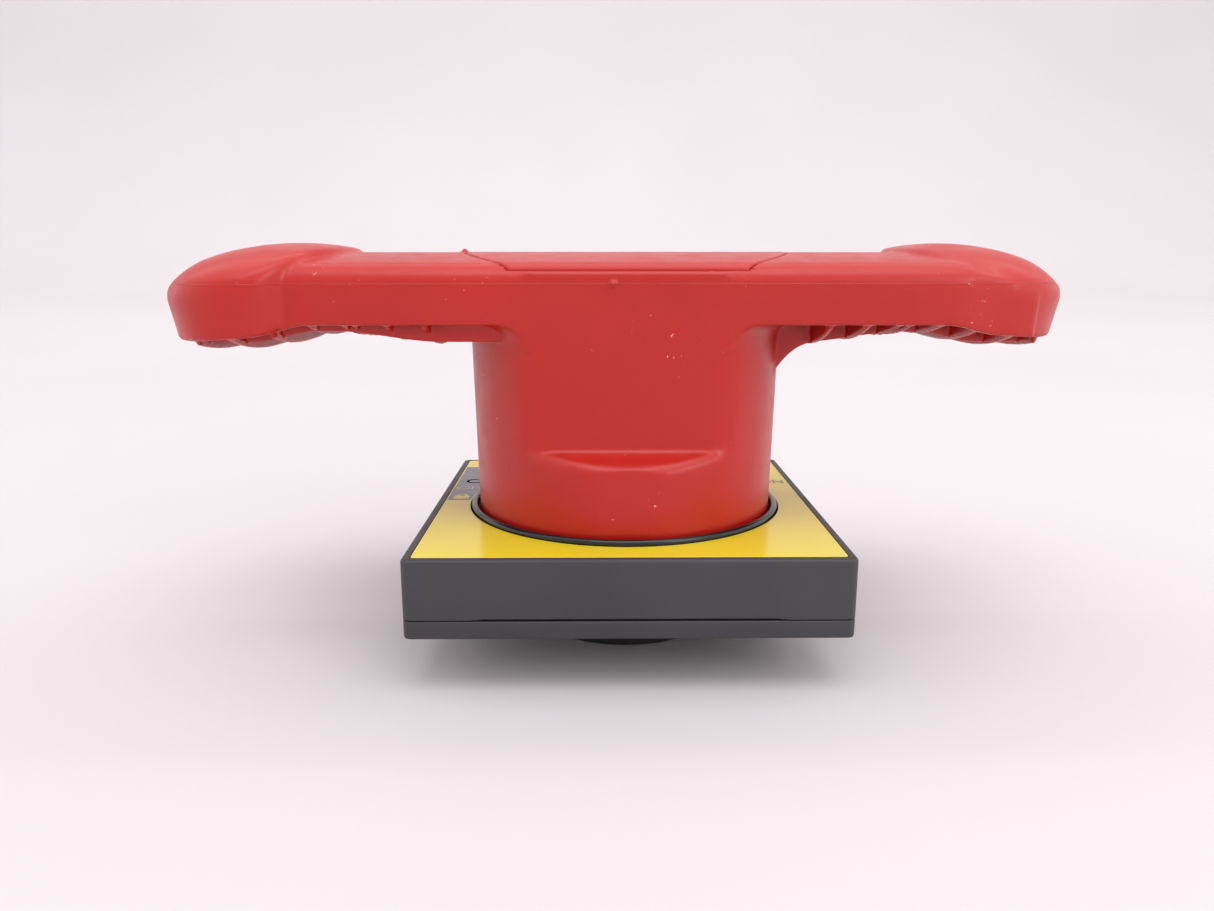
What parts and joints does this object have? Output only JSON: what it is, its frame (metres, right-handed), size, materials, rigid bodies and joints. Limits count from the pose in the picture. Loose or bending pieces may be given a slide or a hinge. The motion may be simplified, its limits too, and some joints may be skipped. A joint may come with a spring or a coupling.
{
  "type": "rotary operating handle",
  "caption": "Lockable door-mounted rotary handle for a switch, with a wide red T-grip on a column and a square base.",
  "frame": {"origin": "under the middle of the rear boss, on the plane it rests on", "axes": "+Z is the turning axis, pointing out of the front; +X runs along the grip at OFF; +Y completes a right-handed frame"},
  "size_m": [0.216, 0.098, 0.0965],
  "materials": {
    "red_plastic": "semi-gloss moulded red plastic",
    "yellow_film": "glossy yellow legend film",
    "grey_plastic": "fine matte dark grey plastic",
    "black_gloss": "glossy black plastic",
    "black_matte": "matte black plastic",
    "steel": "zinc-plated steel",
    "brass": "machined brass",
    "rubber": "black seal rubber"
  },
  "bodies": {
    "base": {"base_housing": "grey_plastic", "base_back_cover": "grey_plastic", "legend_plate": "yellow_film", "trim_ring": "black_gloss", "shaft_seal": "rubber", "index_ring": "steel", "wave_washer": "steel", "rear_boss": "black_matte", "door_gasket": "rubber", "interlock_plate": "steel", "interlock_screw_1": "steel", "interlock_screw_2": "steel", "interlock_screw_3": "steel", "cover_screw_1": "steel", "cover_screw_2": "steel", "cover_screw_3": "steel", "cover_screw_4": "steel", "door_insert_1": "brass", "door_insert_2": "brass", "door_insert_3": "brass", "door_insert_4": "brass"},
    "handle": {"handle_shell": "red_plastic", "driver_hub": "black_matte", "retaining_plate": "steel", "tongue_spring": "steel", "hub_screw_1": "steel", "hub_screw_2": "steel", "hub_screw_3": "steel", "hub_screw_4": "steel", "plate_screw_1": "steel", "plate_screw_2": "steel", "plate_screw_3": "steel", "plate_screw_4": "steel"},
    "tongue": {"top_cover": "red_plastic", "lock_tongue": "steel", "cover_pin_1": "steel", "cover_pin_2": "steel"},
    "bolt_right": {"lock_bolt_right": "steel", "bolt_pin_right": "steel"},
    "bolt_left": {"lock_bolt_left": "steel", "bolt_pin_left": "steel"}
  },
  "joints": [
    {"name": "handle_turn", "type": "hinge", "parent": "base", "child": "handle", "pos_m": [0, 0, 0.0305], "axis": [0, 0, -1], "range_deg": [0, 90]},
    {"name": "tongue_lift", "type": "slide", "parent": "handle", "child": "tongue", "axis": [0, 0, 1], "range_m": [0, 0.014], "stiffness_N_per_m": 250, "springref_m": -0.008, "deforming": ["tongue_spring"]},
    {"name": "bolt_right_slide", "type": "slide", "parent": "handle", "child": "bolt_right", "axis": [1, 0, 0], "range_m": [0, 0.0035]},
    {"name": "bolt_left_slide", "type": "slide", "parent": "handle", "child": "bolt_left", "axis": [-1, 0, 0], "range_m": [0, 0.0035]}
  ],
  "couplings": [
    {"joint": "bolt_right_slide", "follows": "tongue_lift", "ratio": 0.25},
    {"joint": "bolt_left_slide", "follows": "tongue_lift", "ratio": 0.25}
  ]
}
